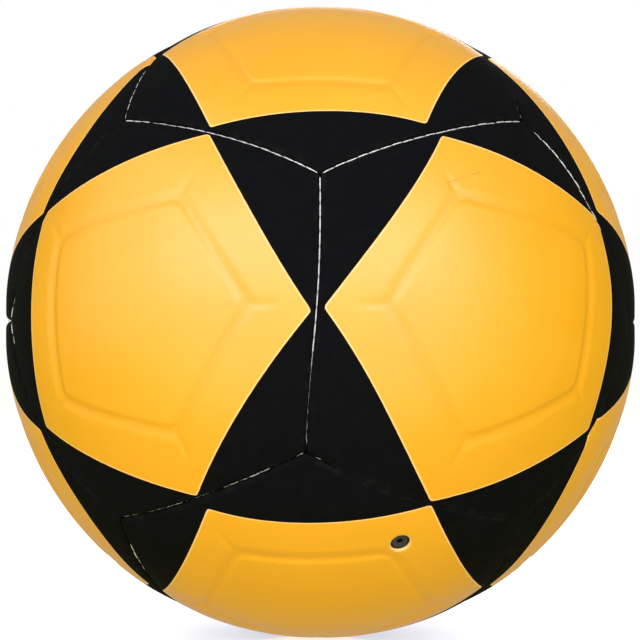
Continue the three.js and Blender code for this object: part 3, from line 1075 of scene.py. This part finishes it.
def bladder_skin():
    shape = bmesh.new()
    bmesh.ops.create_icosphere(shape, subdivisions=BLADDER_FINENESS, radius=BLADDER_OUT)
    near = [edge for edge in shape.edges if all(above_within(v, BLADDER_FINE_REACH) for v in edge.verts)]
    bmesh.ops.subdivide_edges(shape, edges=near, cuts=FINER_CUTS, use_grid_fill=True)
    bmesh.ops.triangulate(shape, faces=shape.faces)
    for vert in shape.verts:
        vert.co = vert.co.normalized() * BLADDER_OUT
    doomed = [vert for vert in shape.verts if above_within(vert, VALVE_HOLE)]
    bmesh.ops.delete(shape, geom=doomed, context="VERTS")
    for vert in rim_verts(shape):
        vert.co.xy = vert.co.xy.normalized() * VALVE_HOLE
    bmesh.ops.recalc_face_normals(shape, faces=shape.faces)
    bmesh.ops.solidify(shape, geom=shape.faces, thickness=BLADDER_WALL)
    bmesh.ops.transform(shape, matrix=valve_matrix(), verts=shape.verts)
    finish_piece("bladder_skin", shape, "bladder", "bladder")


bladder_skin()


# Valve


def turned_piece(name, profile, slot, node):
    """Spins a profile of (radius, height) pairs in mm around the valve's axis."""
    shape = bmesh.new()
    verts = [shape.verts.new((radius, 0, height)) for radius, height in profile]
    edges = [shape.edges.new(pair) for pair in zip(verts, verts[1:])]
    full_turn = {"axis": (0, 0, 1), "cent": (0, 0, 0), "angle": 2 * math.pi, "steps": TURNED_STEPS}
    bmesh.ops.spin(shape, geom=verts + edges, use_merge=True, **full_turn)
    bmesh.ops.remove_doubles(shape, verts=shape.verts, dist=MERGE_GAP)
    bmesh.ops.recalc_face_normals(shape, faces=shape.faces)
    bmesh.ops.transform(shape, matrix=valve_matrix(), verts=shape.verts)
    finish_piece(name, shape, slot, node)


def on_flange(radius, lift=0.0):
    """A point of a profile on the flange's dome, which lies against the bladder, or at a lift from it."""
    return radius, math.sqrt(FLANGE**2 - radius**2) + lift


def below_face(*points):
    return [(radius, VALVE_FACE - depth) for radius, depth in points]


def above_foot(*points):
    return [(radius, VALVE_FOOT + height) for radius, height in points]


# Half sections in mm: the stem's mouth, flange, barrel and hollow, the insert's needle hole, head and plug
STEM_MOUTH = below_face(
    (2.5, 1.4), (2.5, 0.2), (2.55, 0.05), (2.62, 0), (2.7, 0), (2.85, 0.06), (2.94, 0.22), (2.96, 0.5)
)
STEM_FLANGE = [
    (3.38, VALVE_FACE - 0.75),
    (3.38, FLANGE + 0.6),
    on_flange(3.6, 0.02),
    on_flange(4.6),
    on_flange(8.0),
    on_flange(11.6),
    on_flange(12.0, -0.25),
    on_flange(11.9, -0.612),
    on_flange(8.0, -1.1),
    on_flange(5.2, -1.3),
    on_flange(4.4, -2.0),
]
STEM_BARREL = above_foot((4.2, 2.5), (4.0, 0.4), (3.6, 0), (1.2, 0), (1.0, 0.2), (1.0, 1.5))
STEM_HOLLOW = above_foot((2.3, 1.5), (2.3, 4.7), (1.8, 4.7)) + below_face((1.8, 1.4), (2.5, 1.4))
INSERT_HOLE = below_face((0.0, 7), (1.25, 7), (1.3, 2.2), (1.25, 1.2), (1.0, 0.7), (0.97, 0.4), (1.07, 0.18))
INSERT_HEAD = below_face(
    (1.25, 0.07), (1.8, 0.03), (2.3, 0.03), (2.41, 0.08), (2.45, 0.25), (2.45, 1.1), (1.5, 1.1)
)
INSERT_PLUG = above_foot((1.5, 4.4), (2.0, 4.4), (2.0, 2.2), (1.6, 1.8), (0.0, 1.8))

turned_piece("valve_stem", STEM_MOUTH + STEM_FLANGE + STEM_BARREL + STEM_HOLLOW, "valve", "valve_body")
turned_piece("valve_insert", INSERT_HOLE + INSERT_HEAD + INSERT_PLUG, "core", "valve_core")


# Stitches


def petals_of(place):
    """The panels round a panel, in order."""
    around_it = neighbours_of(place)
    ordered = [around_it[0]]
    while len(ordered) < SIDES:
        ordered.append(next(o for o in around_it if o not in ordered and are_neighbours(o, ordered[-1])))
    return ordered


def seam_runs():
    """Each thread's name with the corners of the panels it passes, in order."""
    runs, rim = {}, []
    for cup, place in (("valve_cup", VALVE_PANEL), ("far_cup", FAR_PANEL)):
        petals = petals_of(place)
        pairs = [(petal, petals[(i + 1) % SIDES]) for i, petal in enumerate(petals)]
        ring = [seam_point(f"{place} {a} {b}") for a, b in pairs]
        runs[f"{cup}_ring"] = ring + ring[:1]
        for i, (a, b) in enumerate(pairs):
            beyond = next(o for o in neighbours_of(a) if o != place and are_neighbours(o, b))
            outer = seam_point(f"{a} {b} {beyond}")
            rim.append(outer)
            runs[f"{cup}_side_{i + 1}"] = [ring[i], outer]
    axis = direction(FAR_PANEL)
    start = (rim[0] - axis * axis.dot(rim[0])).normalized()
    across = axis.cross(start)
    rim.sort(key=lambda point: math.atan2(point.dot(across), point.dot(start)))
    runs["closing_seam"] = rim + rim[:1]
    return runs


def stitch_template():
    """One stitch along X: a slim spindle whose ends bend down into the seam."""
    shape = bmesh.new()
    bmesh.ops.create_uvsphere(shape, u_segments=STITCH_SIDES, v_segments=STITCH_RINGS, radius=1)
    bmesh.ops.rotate(shape, matrix=Matrix.Rotation(math.pi / 2, 3, "Y"), verts=shape.verts)
    for vert in shape.verts:
        share = vert.co.x
        on_sphere = math.sqrt(max(1 - share**2, TINY))
        width = STITCH_RADIUS * max(1 - abs(share) ** STITCH_BLUNTNESS, 0) / on_sphere
        vert.co = (share * STITCH_LENGTH / 2, vert.co.y * width, vert.co.z * width - STITCH_DIP * share**4)
    return mesh_from("stitch", shape)


STITCH = stitch_template()


def stitch_sink(up):
    """How far below its usual depth a stitch lies, in mm, by how tightly the seam is closed."""
    place = np.array([up])
    tight = np.minimum(tightness(place), FLUSH_AT) + STITCH_UNEVEN * wander(place, STITCH_PHASE)
    return max(STITCH_SINK * float(tight[0] - STITCH_LEVEL_AT), -STITCH_RISE)


def stitched_seam(name, corners):
    shape = bmesh.new()
    radius = CREST - STITCH_DEPTH
    for start, end in zip(corners, corners[1:]):
        length = start.angle(end) * radius
        margin = STITCH_CORNER_GAP / length
        count = round((length - 2 * STITCH_CORNER_GAP) / STITCH_PITCH)
        for i in range(count):
            up = start.slerp(end, margin + (i + 0.5) / count * (1 - 2 * margin))
            along = (end - up * up.dot(end)).normalized()
            turn = Matrix((along, up.cross(along), up)).transposed().to_4x4()
            lift = Matrix.Translation(up * (radius - stitch_sink(up)))
            shape.from_mesh(STITCH)
            fresh = shape.verts[:][-len(STITCH.vertices):]
            bmesh.ops.transform(shape, matrix=lift @ turn, verts=fresh)
    sew(shape, np.eye(3))
    finish_piece(f"stitches_{name}", shape, "thread", f"thread_{name}")


for name, corners in seam_runs().items():
    stitched_seam(name, corners)


# Studio: the light from all round, as linear colours, and the stretches of direction over which it changes
FLOOR_BOUNCE = (0.63, 0.57, 0.14)
HORIZON = (0.40, 0.40, 0.04)
CEILING = (0.42, 0.44, 0.30)
WALL_BEHIND = (0.52, 0.56, 0.62)
WHITE = (1.0, 1.0, 1.0)
BOUNCE_LEAN, BOUNCE_SPAN = 0.6, (-0.5, 0.0)
CEILING_SPAN, WALL_SPAN = (0.2, 0.9), (0.6, 0.9)

# Studio: each light's place and size in metres, power in watts, tint, and whether it shows only as gloss
GLEAM_TINT = (0.85, 0.92, 1.1)
LIGHTS = {
    "key": ((0, -1.2, 0.15), (2.6, 1.9), 15.5, (1.0, 0.94, 1.12), False),
    "front": ((-0.08, -1.05, 0.55), (2.6, 0.6), 10.2, (1.0, 0.90, 1.2), False),
    "back": ((0.1, 1.6, 0.35), (0.8, 0.8), 16.0, (1.0, 0.97, 1.0), False),
    "left": ((-1.13, -0.41, 0.55), (1.1, 1.6), 5.3, GLEAM_TINT, True),
    "right": ((0.98, -0.69, 0.45), (0.6, 1.7), 1.6, GLEAM_TINT, True),
}

# Studio: the floor, half its side in metres, and its own glow
FLOOR_HALF = 6.0
FLOOR_GLOW, FLOOR_GLOW_TINT = 0.72, (0.88, 0.88, 1.0)


def camera_view():
    """Camera in front of the ball and almost level with it, as photographed."""
    lens = bpy.data.cameras.new("camera")
    lens.lens = lens.sensor_width * PHOTO_FOCAL / PHOTO_SIZE
    lens.shift_x, lens.shift_y = (PHOTO_MIDDLE - PHOTO_SIZE / 2) * (-1, 1) / PHOTO_SIZE
    lens.clip_start = CAMERA_NEAR * MM
    camera = bpy.data.objects.new("camera", lens)
    back = Matrix.Translation((0, -CAMERA_DISTANCE * MM, 0))
    camera.matrix_world = camera_turn().to_4x4() @ back @ Matrix.Rotation(math.pi / 2, 4, "X")
    bpy.context.scene.collection.objects.link(camera)
    bpy.context.scene.camera = camera


def soft_light(name, place, size, power, tint, only_gloss):
    lamp = bpy.data.lights.new(name, "AREA")
    lamp.shape = "RECTANGLE"
    lamp.size, lamp.size_y = size
    lamp.energy = power
    lamp.color = tint
    light = bpy.data.objects.new(name, lamp)
    light.location = place
    light.rotation_euler = (-Vector(place)).to_track_quat("-Z", "Y").to_euler()
    light.visible_camera = False
    light.visible_diffuse = not only_gloss
    bpy.context.scene.collection.objects.link(light)


def pale_floor():
    shape = bmesh.new()
    bmesh.ops.create_grid(shape, x_segments=1, y_segments=1, size=FLOOR_HALF)
    bmesh.ops.translate(shape, vec=(0, 0, -CREST * MM), verts=shape.verts)
    mesh = mesh_from("floor", shape)
    material, _, shader = new_material("pale_floor", FLOOR_GLOSS, FLOOR_ROUGHNESS)
    shader.inputs["Base Color"].default_value = (*FLOOR_WHITE, 1)
    shader.inputs["Emission Color"].default_value = (*FLOOR_GLOW_TINT, 1)
    shader.inputs["Emission Strength"].default_value = FLOOR_GLOW
    mesh.materials.append(material)
    floor = bpy.data.objects.new("floor", mesh)
    bpy.context.scene.collection.objects.link(floor)
    floor.visible_diffuse = floor.visible_glossy = False


def studio():
    """White to the eye and dimmer as light, with soft lights before, behind and beside the ball."""
    world = bpy.data.worlds.new("studio")
    bpy.context.scene.world = world
    world.use_nodes = True
    tree = world.node_tree
    seen = add_node(tree, "ShaderNodeLightPath").outputs["Is Camera Ray"]
    way = add_node(tree, "ShaderNodeTexCoord").outputs["Generated"]
    axes = add_node(tree, "ShaderNodeSeparateXYZ", Vector=way).outputs
    in_front_below = math_node(tree, "ADD", axes["Z"], product(tree, axes["Y"], BOUNCE_LEAN))
    lit = mix_colour(tree, ramp_between(tree, in_front_below, BOUNCE_SPAN), FLOOR_BOUNCE, HORIZON)
    lit = mix_colour(tree, ramp_between(tree, axes["Z"], CEILING_SPAN), lit, CEILING)
    lit = mix_colour(tree, ramp_between(tree, axes["Y"], WALL_SPAN), lit, WALL_BEHIND)
    background = tree.nodes["Background"]
    tree.links.new(mix_colour(tree, seen, lit, WHITE), background.inputs["Color"])
    for name, settings in LIGHTS.items():
        soft_light(name, *settings)
    bpy.context.scene.view_settings.view_transform = "Standard"


camera_view()
pale_floor()
studio()
